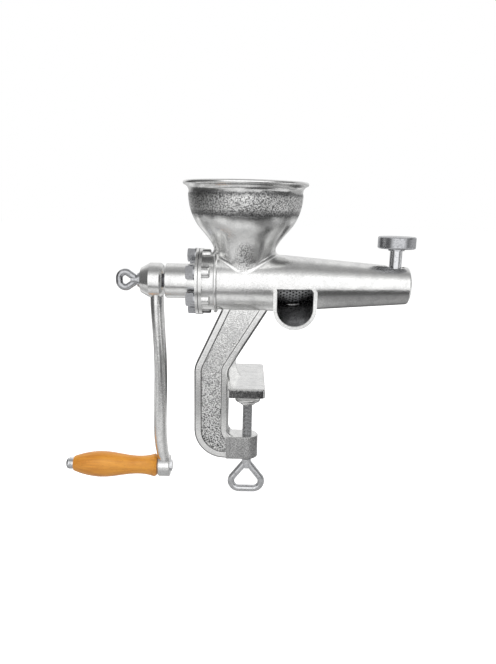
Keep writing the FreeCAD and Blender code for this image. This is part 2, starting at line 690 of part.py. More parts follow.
def crank_bar():
    """Slightly bowed bar of lens-shaped section from the hub down to the grip's boss."""
    top_z = AXIS_Z - HUB_BACK_R / 2
    low_z = GRIP_Z + GRIP_BOSS_R / 2
    places = [
        (CRANK_TOP_SET, top_z, CRANK_TOP_W, CRANK_T),
        ((CRANK_TOP_SET + CRANK_MID_SET) / 2, (3 * top_z + low_z) / 4, CRANK_TOP_W, CRANK_T),
        (CRANK_MID_SET, (top_z + low_z) / 2, (CRANK_TOP_W + CRANK_LOW_W) / 2, CRANK_T),
        (CRANK_LOW_SET, GRIP_Z + CRANK_END_RISE, CRANK_LOW_W, CRANK_T),
        (CRANK_END_SET, low_z, CRANK_LOW_W, CRANK_END_T),
    ]
    sections = []
    for offset, z, width, thickness in places:
        x = HUB_START_X + offset
        oval = Part.Ellipse(V(x, width / 2, z), V(x - thickness / 2, 0, z), V(x, 0, z))
        sections.append(Part.Wire([oval.toShape()]))
    return Part.makeLoft(sections, True, False)


def crank_arm():
    """Crank in one forging: barrel-shaped hub with a square hole, bar and boss for the grip's pin."""
    hub = turned_x([
        (HUB_START_X, 0), (HUB_START_X, HUB_BACK_R), (HUB_START_X - EDGE * 2, HUB_R),
        (HUB_END_X + HUB_CHAMFER, HUB_R), (HUB_END_X, HUB_FACE_R), (HUB_END_X, 0),
    ])
    boss = rod_x(GRIP_BOSS_X, GRIP_BOSS_X + GRIP_BOSS_T, GRIP_BOSS_R, GRIP_Z)
    boss = boss.makeFillet(EDGE, edges_where(boss, lambda p, e: e.Length > GRIP_BOSS_R * math.pi))
    solid = crank_bar().fuse(hub).fuse(boss)
    side = SQUARE + 2 * RUNNING
    hole = Part.makeBox(HUB_LENGTH, side, side, V(HUB_END_X, -side / 2, AXIS_Z - side / 2))
    solid = solid.cut(hole)
    return solid.cut(rod_x(GRIP_BOSS_X, GRIP_BOSS_X + GRIP_BOSS_T, PIN_R, GRIP_Z))


def wire_eye(corners, wire):
    """Closed loop of round wire along a rounded path through the corners."""
    path = rounded_outline(corners)
    first = path.OrderedEdges[0]
    start = first.valueAt(first.FirstParameter)
    along = first.tangentAt(first.FirstParameter)
    section = Part.Wire([Part.makeCircle(wire / 2, start, along)])
    return path.makePipe(Part.Face(section))


def crank_washer():
    """Plain washer between the eye screw and the crank's hub."""
    return ring_x(HUB_END_X - EYE_WASHER_T, HUB_END_X, EYE_WASHER_R, TAPPED_R + RUNNING)


def crank_eye_screw():
    """Eye screw that draws the crank on to the shaft: shank, collar and a teardrop eye."""
    seat = HUB_END_X - EYE_WASHER_T
    face = seat - EYE_COLLAR_T
    bend = EYE_WIRE / 2 + LOOSE
    half = (EYE_HEIGHT - EYE_WIRE) / 2
    far = face - EYE_LENGTH + EYE_WIRE / 2
    loop = wire_eye([
        (face, AXIS_Z, bend),
        (far + half, AXIS_Z + half, bend),
        (far, AXIS_Z + half, half * 0.8),
        (far, AXIS_Z - half, half * 0.8),
        (far + half, AXIS_Z - half, bend),
    ], EYE_WIRE)
    collar = rod_x(face, seat, EYE_COLLAR_R)
    neck = rod_x(face - EYE_WIRE, face, EYE_WIRE * 0.6)
    shank = rod_x(seat, SHAFT_END_X + TAPPED_DEPTH - EYE_COLLAR_T, TAPPED_R - RUNNING)
    return loop.fuse(neck).fuse(collar).fuse(shank).removeSplitter()


def handle_pin():
    """Pin through the grip, with a domed head, held in the crank's boss."""
    head_x = GRIP_START_X - END_PLAY
    end_x = GRIP_BOSS_X + GRIP_BOSS_T + NUT_T
    head = rod_x(head_x - PIN_HEAD_T, head_x, PIN_HEAD_R, GRIP_Z)
    dome = edges_where(head, lambda p, e: p.x < head_x - PIN_HEAD_T + 1e-6)
    head = head.makeFillet(PIN_HEAD_R * 0.6, dome)
    return head.fuse(rod_x(head_x, end_x, PIN_R, GRIP_Z))


def pin_nut():
    """Thin hexagon nut that locks the pin behind the crank's boss."""
    start = GRIP_BOSS_X + GRIP_BOSS_T
    corner = NUT_FLATS / math.sqrt(3)
    points = []
    for i in range(7):
        turn = math.radians(60 * i)
        points.append(V(start, corner * math.cos(turn), GRIP_Z + corner * math.sin(turn)))
    block = Part.Face(Part.makePolygon(points)).extrude(V(NUT_T, 0, 0))
    return block.cut(rod_x(start, start + NUT_T, PIN_R, GRIP_Z))


def grip_washer():
    """Thin washer between the grip and the crank's boss."""
    return ring_x(GRIP_BOSS_X - GRIP_WASHER_T, GRIP_BOSS_X, GRIP_WASHER_R, PIN_R, GRIP_Z)


def wooden_grip():
    """Turned grip: domed tip, belly, waist and a flared end, bored for the pin."""
    length = GRIP_LENGTH
    flare_x = GRIP_END_X - GRIP_FLARE_R * 0.25
    places = [
        (GRIP_START_X, GRIP_TIP_R),
        (GRIP_START_X + length * 0.16, (GRIP_TIP_R + 2 * GRIP_BELLY_R) / 3 + 0.4),
        (GRIP_START_X + length * 0.36, GRIP_BELLY_R),
        (GRIP_START_X + length * 0.73, GRIP_WAIST_R),
        (flare_x, GRIP_FLARE_R),
    ]
    curve = smooth([V(x, 0, GRIP_Z + r) for x, r in places])
    bevel = V(GRIP_END_X, 0, GRIP_Z + GRIP_FLARE_R * 0.8)
    bore = GRIP_Z + PIN_R + RUNNING
    start = V(GRIP_START_X, 0, bore)
    end = V(GRIP_END_X, 0, bore)
    edges = [
        Part.makeLine(start, curve.valueAt(curve.FirstParameter)),
        curve,
        Part.makeLine(curve.valueAt(curve.LastParameter), bevel),
        Part.makeLine(bevel, end),
        Part.makeLine(end, start),
    ]
    return Part.Face(Part.Wire(edges)).revolve(V(0, 0, GRIP_Z), V(1, 0, 0), 360)


def clamp_pad():
    """Swivel pad on the screw's tip: flat disc with a hub below and a recess above."""
    pad = rod_z(0, PAD_TOP_Z - PAD_T, PAD_TOP_Z, PAD_R)
    pad = pad.makeFillet(EDGE, edges_where(pad, lambda p, e: e.Length > PAD_R * math.pi))
    pad = pad.fuse(rod_z(0, PAD_BOTTOM_Z, PAD_TOP_Z - PAD_T, PAD_HUB_R))
    pad = pad.cut(rod_z(0, PAD_FLOOR_Z, PAD_TOP_Z, PAD_RECESS_R))
    return pad.cut(rod_z(0, PAD_BOTTOM_Z, PAD_FLOOR_Z, TIP_R + RUNNING))


def clamp_screw():
    """Clamp screw with a peened tip inside the pad and a rounded triangular eye to turn it by."""
    head_z = PAD_FLOOR_Z + END_PLAY
    shoulder_z = PAD_BOTTOM_Z - END_PLAY
    tip = rod_z(0, shoulder_z, head_z, TIP_R).fuse(rod_z(0, head_z, head_z + TIP_HEAD_T, TIP_HEAD_R))
    half = (CLAMP_EYE_WIDTH - CLAMP_EYE_WIRE) / 2
    low = CLAMP_EYE_TOP_Z - CLAMP_EYE_HEIGHT + CLAMP_EYE_WIRE / 2
    wide_z = low + CLAMP_EYE_BEND
    slope = math.atan2(half - CLAMP_EYE_BEND, CLAMP_EYE_TOP_Z - wide_z)
    slope += math.asin(CLAMP_EYE_BEND / math.hypot(half - CLAMP_EYE_BEND, CLAMP_EYE_TOP_Z - wide_z))
    corner_x = (CLAMP_EYE_TOP_Z - low) * math.tan(slope)
    loop = wire_eye([
        (0, CLAMP_EYE_TOP_Z, CLAMP_EYE_WIRE / 2 + LOOSE),
        (corner_x, low, CLAMP_EYE_BEND),
        (-corner_x, low, CLAMP_EYE_BEND),
    ], CLAMP_EYE_WIRE)
    shank = rod_z(0, CLAMP_EYE_TOP_Z - CLAMP_EYE_WIRE, shoulder_z, SCREW_R)
    return tip.fuse(shank).fuse(loop).removeSplitter()


def throttle_stem():
    """Screw that closes down the pulp outlet."""
    return rod_z(THROTTLE_X, AXIS_Z + THROTTLE_TIP_RISE, KNOB_Z + KNOB_SOCKET - END_PLAY, THROTTLE_R)


def throttle_knob():
    """Round knob on the throttle screw's head, with a short neck below."""
    knob = rod_z(THROTTLE_X, KNOB_Z, KNOB_Z + KNOB_T, KNOB_R)
    knob = knob.makeFillet(KNOB_EDGE, edges_where(knob, lambda p, e: e.Length > KNOB_R * math.pi))
    knob = knob.fuse(rod_z(THROTTLE_X, KNOB_Z - KNOB_NECK_T, KNOB_Z, KNOB_NECK_R))
    return knob.cut(rod_z(THROTTLE_X, KNOB_Z - KNOB_NECK_T, KNOB_Z + KNOB_SOCKET, THROTTLE_R + RUNNING))


PIECES = [
    body_casting, strainer, bearing_cover, bearing_bush, cover_gasket, cover_bolts, cover_washers,
    thrust_washer, auger, crank_arm, crank_washer, crank_eye_screw, handle_pin, pin_nut, grip_washer,
    wooden_grip, clamp_pad, clamp_screw, throttle_stem, throttle_knob,
]

os.makedirs("parts", exist_ok=True)
for piece in PIECES:
    piece().exportStep("parts/" + piece.__name__ + ".step")
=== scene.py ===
"""Looks of a table-clamped hand-crank juicer: tinned cast iron, bright steel and a turned wooden grip."""
import math
import bpy
import numpy as np
from mathutils import Euler, Matrix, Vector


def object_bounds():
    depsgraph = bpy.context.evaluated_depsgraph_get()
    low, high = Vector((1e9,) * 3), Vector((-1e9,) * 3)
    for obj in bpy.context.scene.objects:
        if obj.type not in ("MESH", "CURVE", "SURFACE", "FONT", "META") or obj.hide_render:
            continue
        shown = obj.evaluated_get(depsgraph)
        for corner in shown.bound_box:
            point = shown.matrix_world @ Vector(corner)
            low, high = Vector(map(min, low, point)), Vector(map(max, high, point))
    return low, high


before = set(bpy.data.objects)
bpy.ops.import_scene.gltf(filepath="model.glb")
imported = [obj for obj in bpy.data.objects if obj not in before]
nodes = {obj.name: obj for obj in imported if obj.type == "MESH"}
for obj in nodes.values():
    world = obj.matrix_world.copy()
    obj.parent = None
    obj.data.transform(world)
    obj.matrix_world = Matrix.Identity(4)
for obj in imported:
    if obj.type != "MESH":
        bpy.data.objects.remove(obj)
cad_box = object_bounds()

MM = 0.001
WHITE = (1.0, 1.0, 1.0, 1.0)

# The photograph: 496 x 664 pixels, looking down at the middle of the object from the front
IMAGE_HEIGHT = 664
FOCAL_PIXELS = 570.2
SENSOR = 36.0
CAMERA_PLACE = (-1.3 * MM, -567.5 * MM, 180.8 * MM)
CAMERA_PITCH = math.radians(12.5)
CAMERA_ROLL = math.radians(1.3)

# Sizes of the patterns, in millimetres across
SAND_GRAIN = 1.3                 # real grains are nearer 0.4 mm, too fine to show in the render
TIN_SPECK = 1.25                 # drawn as coarse as the grain, to show
TIN_FLOW = 9.0                   # waves that the tin set in as it ran off
STEEL_SPOT = 2.2
TOOL_MARK = 0.5                  # real marks are nearer 0.1 mm, too fine to show in the render
BEECH_STREAK = 2.4
BEECH_PORE = 0.55                # real pores are nearer 0.1 mm, too fine to show in the render
BEECH_CLOUD = 18.0
RUBBER_TOOTH = 0.6               # real tooth is nearer 0.2 mm, too fine to show in the render
STREAK_SQUEEZE = 0.06            # width of a streak beside its length along the grip
PORE_SQUEEZE = 0.14

# How much rougher a finish gets where it is spotted or sandy, and how high its waves stand
SPOT_ROUGHNESS = 0.14
SAND_ROUGHNESS = 0.16
FLOW_HEIGHT = 0.15               # height of the tin's waves beside that of full sand grain

# How far the sand mould shows, how thickly specks lie, and how strong the painted shade is, from 0 to 1
PLAIN_SAND = 0.1
HOPPER_SAND = 0.8
BOSS_SAND = 0.5
PANEL_TOP_SAND = 0.25
SPECK_COVER = 0.95
# Painted shade on the band's edges and the boss, a painted dark reflection on the arm's edges, and the
# painted shade's strength at the channel's lip
BAND_EDGE_PAINTED_SHADE = 0.75
ARM_EDGE_PAINTED_REFLECTION = 0.8
BOSS_PAINTED_SHADE = 0.4
CHANNEL_LIP_PAINTED_SHADE = 0.3

# Arm of the casting, from the barrel down to the jaw and the clamp boss
BARREL_BOTTOM_Z = 77.9 * MM
PANEL_Y = 6.5 * MM               # sunk face of the arm, either side of the middle
PANEL_SLACK = 0.5 * MM
PANEL_FADE_Z = -50.0 * MM        # the panel's grain fades from here up to the barrel
PANEL_FACING = 0.9               # sideways part of the normal, past which a face counts as flat
ARM_HALF_DEPTH = 10.0 * MM
ARM_SLACK = 1.0 * MM
BOSS_TOP_Z = -55.4 * MM
BOSS_BACK_X = -21.8 * MM
BOSS_TOP_FACING = 0.6            # upward part of the normal, past which a face is the boss's top
JAW_END_Y = 46.4 * MM
JAW_TOP_Z = 8.0 * MM

# Hopper of the casting; each pair is a half width and the fade beside it
HOPPER_X = -6.4 * MM
BAND_Z = 182.0 * MM              # rough band around the hopper
BAND_HALF = 9.5 * MM
BAND_FADE = 2.0 * MM
BAND_TOP_EDGE = (0.0, 4.0 * MM)
BAND_LOW_EDGE = (0.5 * MM, 4.5 * MM)
THROAT_Z = 133.0 * MM            # rough patch at the hopper's foot
THROAT_ACROSS = (2.0 * MM, 9.0 * MM)
THROAT_UP = (7.0 * MM, 11.0 * MM)
RAGGED_EDGE = 6.0 * MM

# Juice channel of the casting
CHUTE_X = 41.8 * MM
CHANNEL_R = 17.4 * MM            # just outside the channel's wall
CHANNEL_LIP_Y = -45.0 * MM
CHANNEL_LIP_Z = 87.9 * MM        # axis of the channel's round floor at the lip
CHANNEL_CLIMB = 0.378            # rise of that axis for each step in from the lip
CHANNEL_TOP_Z = 103.4 * MM
CHANNEL_SHINE = 12.0 * MM        # how far in from the lip the channel stays bright

# Thread of the clamp screw
CLAMP_PITCH = 1.5 * MM
CLAMP_THREAD_END_Z = -83.0 * MM

# Stage
FLOOR_DROP = 2.0 * MM
FLOOR_REACH = 8.0
CARD_X = (-0.7, 0.7)
CARD_Y = (-0.8, 0.8)
CARD_DARK_X = 0.23               # middle of the card's dark wedge, which widens away from the object
CARD_DARK_HALF = 0.06
CARD_DARK_FADE = 0.08
CARD_DARK_SPREAD = 0.25


def linear(hex_colour):
    """Linear RGBA of an sRGB hex colour."""
    channels = np.array([int(hex_colour[i:i + 2], 16) for i in (1, 3, 5)]) / 255.0
    straight = np.where(channels <= 0.04045, channels / 12.92, ((channels + 0.055) / 1.055) ** 2.4)
    return (*straight, 1.0)


def per(size_mm):
    """Noise scale whose features are about this many millimetres across."""
    return 1.0 / (size_mm * MM)


def add(tree, kind, links=None, **settings):
    """Add a node with its settings, and give each named input a node's first output, a socket or a value."""
    node = tree.nodes.new(kind)
    for name, value in settings.items():
        setattr(node, name, value)
    for name, source in (links or {}).items():
        if isinstance(source, bpy.types.Node):
            source = source.outputs[0]
        if isinstance(source, bpy.types.NodeSocket):
            tree.links.new(source, node.inputs[name])
        else:
            node.inputs[name].default_value = source
    return node


def new_material(name):
    """Empty material; returns it and its node tree."""
    material = bpy.data.materials.new(name)
    material.use_nodes = True
    material.node_tree.nodes.clear()
    return material, material.node_tree


def finish_material(tree, links):
    """Close a material's tree with a principled shader that takes these links and values."""
    shader = add(tree, "ShaderNodeBsdfPrincipled", links)
    add(tree, "ShaderNodeOutputMaterial", {"Surface": shader})


def within(tree, value, middle, half, soft):
    """1 where a value lies within half of its middle, fading to 0 over a soft edge outside."""
    off = add(tree, "ShaderNodeMath", {0: value, 1: middle}, operation="SUBTRACT")
    off = add(tree, "ShaderNodeMath", {0: off}, operation="ABSOLUTE")
    return add(tree, "ShaderNodeMapRange",
               {"Value": off, "From Min": half, "From Max": half + soft, "To Min": 1.0, "To Max": 0.0})


def masked(tree, value, *masks):
    """A value let through by each mask in turn: all of them multiplied together."""
    for mask in masks:
        value = add(tree, "ShaderNodeMath", {0: value, 1: mask}, operation="MULTIPLY")
    return value


def layered(tree, ground, coats):
    """Colour of a ground under coats that cover it one after another, as (cover from 0 to 1, hex colour)."""
    colour = linear(ground)
    for cover, coat in coats:
        mix = add(tree, "ShaderNodeMix", {0: cover, 6: colour, 7: linear(coat)}, data_type="RGBA")
        colour = mix.outputs[2]
    return colour


def ragged_height(tree, spot, flow):
    """Height that wanders with the tin's flow, so that a place cut off at a height gets a ragged edge."""
    height = add(tree, "ShaderNodeSeparateXYZ", {0: spot.outputs["Object"]}).outputs["Z"]
    swing = add(tree, "ShaderNodeMath", {0: flow, 1: 0.5}, operation="SUBTRACT")
    return add(tree, "ShaderNodeMath", {0: swing, 1: RAGGED_EDGE, 2: height}, operation="MULTIPLY_ADD")


def hopper_outside(tree, spot):
    """1 where the hopper's wall faces away from the middle of its bowl, and 0 on its inside."""
    middle = (HOPPER_X, 0.0, BAND_Z)
    out = add(tree, "ShaderNodeVectorMath", {0: spot.outputs["Object"], 1: middle}, operation="SUBTRACT")
    out = add(tree, "ShaderNodeVectorMath", {0: out, 1: spot.outputs["Normal"]}, operation="DOT_PRODUCT")
    return add(tree, "ShaderNodeMath", {0: out.outputs["Value"], 1: 0.0}, operation="GREATER_THAN")


def boss_places(tree, spot):
    """1 on the clamp boss, apart from its top, and 0 elsewhere."""
    axes = add(tree, "ShaderNodeSeparateXYZ", {0: spot.outputs["Object"]}).outputs
    rise = add(tree, "ShaderNodeSeparateXYZ", {0: spot.outputs["Normal"]}).outputs["Z"]
    foot = add(tree, "ShaderNodeMath", {0: axes["Z"], 1: BOSS_TOP_Z}, operation="LESS_THAN")
    boss = add(tree, "ShaderNodeMath", {0: axes["X"], 1: BOSS_BACK_X}, operation="GREATER_THAN")
    side = add(tree, "ShaderNodeMath", {0: rise, 1: BOSS_TOP_FACING}, operation="LESS_THAN")
    return masked(tree, foot, boss, side)


def panel_places(tree, spot):
    """How far the sand mould shows on the arm's sunk panels: fully at the foot, and less up to the barrel."""
    axes = add(tree, "ShaderNodeSeparateXYZ", {0: spot.outputs["Object"]}).outputs
    facing = add(tree, "ShaderNodeSeparateXYZ", {0: spot.outputs["Normal"]}).outputs
    depth = add(tree, "ShaderNodeMath", {0: axes["Y"]}, operation="ABSOLUTE")
    flat = add(tree, "ShaderNodeMath", {0: facing["Y"]}, operation="ABSOLUTE")
    flat = add(tree, "ShaderNodeMath", {0: flat, 1: PANEL_FACING}, operation="GREATER_THAN")
    below = add(tree, "ShaderNodeMath", {0: axes["Z"], 1: BARREL_BOTTOM_Z}, operation="LESS_THAN")
    low = add(tree, "ShaderNodeMapRange",
              {"Value": axes["Z"], "From Min": PANEL_FADE_Z, "From Max": BARREL_BOTTOM_Z,
               "To Min": 1.0, "To Max": PANEL_TOP_SAND})
    return masked(tree, within(tree, depth, PANEL_Y, PANEL_SLACK, PANEL_SLACK), flat, below, low)


def sand_places(tree, spot, uneven):
    """How far the sand mould shows: on the arm's panels, the hopper's band and foot, and the clamp boss."""
    along = add(tree, "ShaderNodeSeparateXYZ", {0: spot.outputs["Object"]}).outputs["X"]
    panel = panel_places(tree, spot)
    band = within(tree, uneven, BAND_Z, BAND_HALF, BAND_FADE)
    band = masked(tree, band, hopper_outside(tree, spot), HOPPER_SAND)
    throat = within(tree, along, HOPPER_X, *THROAT_ACROSS)
    throat = masked(tree, throat, within(tree, uneven, THROAT_Z, *THROAT_UP), HOPPER_SAND)
    rough = masked(tree, boss_places(tree, spot), BOSS_SAND)
    for other in (panel, band, throat):
        rough = add(tree, "ShaderNodeMath", {0: rough, 1: other}, operation="MAXIMUM")
    return rough


def band_edges(tree, spot, uneven):
    """1 along both edges of the hopper's band, where the wall turns and is given painted shade, fading to 0
    beside them.
    """
    top = within(tree, uneven, BAND_Z + BAND_HALF, *BAND_TOP_EDGE)
    low = within(tree, uneven, BAND_Z - BAND_HALF, *BAND_LOW_EDGE)
    edges = add(tree, "ShaderNodeMath", {0: top, 1: low}, operation="MAXIMUM")
    return masked(tree, edges, hopper_outside(tree, spot))


def arm_edges(tree, spot):
    """1 on the arm's rounded edges, which are given a painted dark reflection, apart from the jaw's; 0 on its
    flat sides.
    """
    axes = add(tree, "ShaderNodeSeparateXYZ", {0: spot.outputs["Object"]}).outputs
    facing = add(tree, "ShaderNodeSeparateXYZ", {0: spot.outputs["Normal"]}).outputs
    flat = add(tree, "ShaderNodeMath", {0: facing["Y"]}, operation="ABSOLUTE")
    turned = add(tree, "ShaderNodeMapRange",
                 {"Value": flat, "From Min": 0.85, "From Max": 0.998, "To Min": 1.0, "To Max": 0.0})
    rounded = add(tree, "ShaderNodeMapRange", {"Value": flat, "From Min": 0.1, "From Max": 0.4})
    above = add(tree, "ShaderNodeMath", {0: axes["Z"], 1: JAW_TOP_Z + ARM_SLACK}, operation="GREATER_THAN")
    upright = add(tree, "ShaderNodeMath", {0: axes["X"], 1: BOSS_BACK_X - ARM_SLACK}, operation="LESS_THAN")
    arm = add(tree, "ShaderNodeMath", {0: above, 1: upright}, operation="MAXIMUM")
    below = add(tree, "ShaderNodeMath", {0: axes["Z"], 1: BARREL_BOTTOM_Z}, operation="LESS_THAN")
    thick = within(tree, axes["Y"], 0.0, ARM_HALF_DEPTH, ARM_SLACK)
    return masked(tree, turned, rounded, arm, below, thick)


def edge_and_boss_painted_shade(tree, spot, uneven):
    """Painted shade: along the band's edges, as a dark reflection on the arm's edges, and on the clamp boss
    under the jaw.
    """
    painted_shade = masked(tree, band_edges(tree, spot, uneven), BAND_EDGE_PAINTED_SHADE)
    edges = masked(tree, arm_edges(tree, spot), ARM_EDGE_PAINTED_REFLECTION)
    boss_shade = masked(tree, boss_places(tree, spot), BOSS_PAINTED_SHADE)
    for other in (edges, boss_shade):
        painted_shade = add(tree, "ShaderNodeMath", {0: painted_shade, 1: other}, operation="MAXIMUM")
    return painted_shade


def jaw_ends(tree, spot):
    """1 on the jaw's two end faces, which are given a painted dark reflection, and 0 elsewhere."""
    axes = add(tree, "ShaderNodeSeparateXYZ", {0: spot.outputs["Object"]}).outputs
    out = add(tree, "ShaderNodeMath", {0: axes["Y"]}, operation="ABSOLUTE")
    end = add(tree, "ShaderNodeMath", {0: out, 1: JAW_END_Y}, operation="GREATER_THAN")
    low = add(tree, "ShaderNodeMath", {0: axes["Z"], 1: JAW_TOP_Z}, operation="LESS_THAN")
    return masked(tree, end, low)


def channel_places(tree, spot):
    """1 deep in the juice channel, a round trough that falls to its lip, less near the lip, 0 elsewhere."""
    axes = add(tree, "ShaderNodeSeparateXYZ", {0: spot.outputs["Object"]}).outputs
    from_lip = add(tree, "ShaderNodeMath", {0: axes["Y"], 1: CHANNEL_LIP_Y}, operation="SUBTRACT")
    axis_z = add(tree, "ShaderNodeMath", {0: from_lip, 1: CHANNEL_CLIMB, 2: CHANNEL_LIP_Z},
                 operation="MULTIPLY_ADD")
    across = add(tree, "ShaderNodeMath", {0: axes["X"], 1: CHUTE_X}, operation="SUBTRACT")
    above = add(tree, "ShaderNodeMath", {0: axes["Z"], 1: axis_z}, operation="SUBTRACT")
    below = add(tree, "ShaderNodeMath", {0: above, 1: 0.0}, operation="MINIMUM")
    reach = add(tree, "ShaderNodeCombineXYZ", {0: across, 1: below})
    reach = add(tree, "ShaderNodeVectorMath", {0: reach}, operation="LENGTH").outputs["Value"]
    inside = add(tree, "ShaderNodeMath", {0: reach, 1: CHANNEL_R}, operation="LESS_THAN")
    low = add(tree, "ShaderNodeMath", {0: axes["Z"], 1: CHANNEL_TOP_Z}, operation="LESS_THAN")
    deep = add(tree, "ShaderNodeMapRange",
               {"Value": from_lip, "From Max": CHANNEL_SHINE, "To Min": CHANNEL_LIP_PAINTED_SHADE})
    return masked(tree, inside, low, deep)


def channel_and_jaw_painted_shade(tree, spot, speck):
    """Painted shade deep in the juice channel and a painted dark reflection on the jaw's ends, mottled with
    specks.
    """
    channel = channel_places(tree, spot)
    painted_dark = add(tree, "ShaderNodeMath", {0: channel, 1: jaw_ends(tree, spot)}, operation="MAXIMUM")
    mottle = add(tree, "ShaderNodeMapRange",
                 {"Value": speck, "From Min": 0.4, "From Max": 0.6, "To Min": 0.65, "To Max": 0.92})
    return masked(tree, painted_dark, mottle)


def tinned_iron(name, whole_casting=False):
    """Cast iron dipped in tin: a bright soft mirror over sand grain, with dull specks where it ran thin."""
    material, tree = new_material(name)
    spot = add(tree, "ShaderNodeTexCoord")
    place = spot.outputs["Object"]
    grain = add(tree, "ShaderNodeTexNoise", {"Vector": place, "Scale": per(SAND_GRAIN), "Detail": 2.0})
    speck = add(tree, "ShaderNodeTexNoise",
                {"Vector": place, "Scale": per(TIN_SPECK), "Detail": 2.0, "Roughness": 0.6})
    flow = add(tree, "ShaderNodeTexNoise", {"Vector": place, "Scale": per(TIN_FLOW), "Detail": 3.0})
    shade = add(tree, "ShaderNodeMapRange",
                {"Value": flow, "From Min": 0.4, "From Max": 0.7, "To Max": 0.25})
    dull = add(tree, "ShaderNodeMapRange", {"Value": speck, "From Min": 0.49, "From Max": 0.55})
    sand = PLAIN_SAND
    iron = []
    if whole_casting:
        uneven = ragged_height(tree, spot, flow)
        rough = sand_places(tree, spot, uneven)
        sand = add(tree, "ShaderNodeMath", {0: rough, 1: PLAIN_SAND}, operation="MAXIMUM")
        # Painted shade: mid grey on the band's and arm's edges and the boss, near black deep in the channel
        # and on the jaw's ends
        iron = [(edge_and_boss_painted_shade(tree, spot, uneven), "#4A4A4C"), (channel_and_jaw_painted_shade(tree, spot, speck), "#2E2E30")]
    dull = masked(tree, dull, sand, SPECK_COVER)
    colour = layered(tree, "#F2F2F1", [(shade, "#B2B2B4"), (dull, "#3A3A3C"), *iron])
    matte = add(tree, "ShaderNodeMapRange",
                {"Value": flow, "From Min": 0.3, "From Max": 0.7, "To Min": 0.16, "To Max": 0.24})
    matte = add(tree, "ShaderNodeMath", {0: sand, 1: SAND_ROUGHNESS, 2: matte}, operation="MULTIPLY_ADD")
    height = masked(tree, grain, sand)
    height = add(tree, "ShaderNodeMath", {0: flow, 1: FLOW_HEIGHT, 2: height}, operation="MULTIPLY_ADD")
    bump = add(tree, "ShaderNodeBump", {"Height": height, "Strength": 0.9, "Distance": 0.8 * MM})
    finish_material(tree, {"Base Color": colour, "Roughness": matte, "Normal": bump, "Metallic": 1.0})
    return material


def thread_height(tree, place):
    """Height of the clamp screw's thread: a triangle wave along a right-handed helix, plain below its end."""
    axes = add(tree, "ShaderNodeSeparateXYZ", {0: place}).outputs
    turn = add(tree, "ShaderNodeMath", {0: axes["Y"], 1: axes["X"]}, operation="ARCTAN2")
    turns = add(tree, "ShaderNodeMath", {0: turn, 1: 0.5 / math.pi}, operation="MULTIPLY")
    rise = add(tree, "ShaderNodeMath", {0: axes["Z"], 1: CLAMP_PITCH}, operation="DIVIDE")
    phase = add(tree, "ShaderNodeMath", {0: rise, 1: turns}, operation="SUBTRACT")
    wave = add(tree, "ShaderNodeMath", {0: phase, 1: 0.5}, operation="PINGPONG")
    plain = add(tree, "ShaderNodeMath", {0: axes["Z"], 1: CLAMP_THREAD_END_Z}, operation="LESS_THAN")
    return add(tree, "ShaderNodeMath", {0: wave, 1: plain}, operation="MAXIMUM")


def bright_steel(name, light="#E2E3E5", dark="#77787B", polish=0.14, threaded=False):
    """Plated steel: sharp reflections, faint tool marks and dull spots, and a thread on the clamp screw with
    painted shade in its grooves.
    """
    material, tree = new_material(name)
    place = add(tree, "ShaderNodeTexCoord").outputs["Object"]
    spots = add(tree, "ShaderNodeTexNoise",
                {"Vector": place, "Scale": per(STEEL_SPOT), "Detail": 4.0, "Roughness": 0.65})
    marks = add(tree, "ShaderNodeTexNoise", {"Vector": place, "Scale": per(TOOL_MARK), "Detail": 2.0})
    dull = add(tree, "ShaderNodeMapRange",
               {"Value": spots, "From Min": 0.5, "From Max": 0.75, "To Max": 0.6})
    matte = add(tree, "ShaderNodeMapRange",
                {"Value": spots, "From Min": 0.35, "From Max": 0.7,
                 "To Min": polish, "To Max": polish + SPOT_ROUGHNESS})
    bump = add(tree, "ShaderNodeBump", {"Height": marks, "Strength": 0.25, "Distance": 0.08 * MM})
    coats = [(dull, dark)]
    if threaded:
        ridge = thread_height(tree, place)
        # Painted shade in the thread's grooves
        groove_shade = add(tree, "ShaderNodeMapRange",
                     {"Value": ridge, "From Max": 0.3, "To Min": 0.85, "To Max": 0.0})
        coats.append((groove_shade, "#1C1C1E"))
        bump = add(tree, "ShaderNodeBump",
                   {"Height": ridge, "Strength": 1.0, "Distance": 1.2 * MM, "Normal": bump})
    colour = layered(tree, light, coats)
    finish_material(tree, {"Base Color": colour, "Roughness": matte, "Normal": bump, "Metallic": 1.0})
    return material


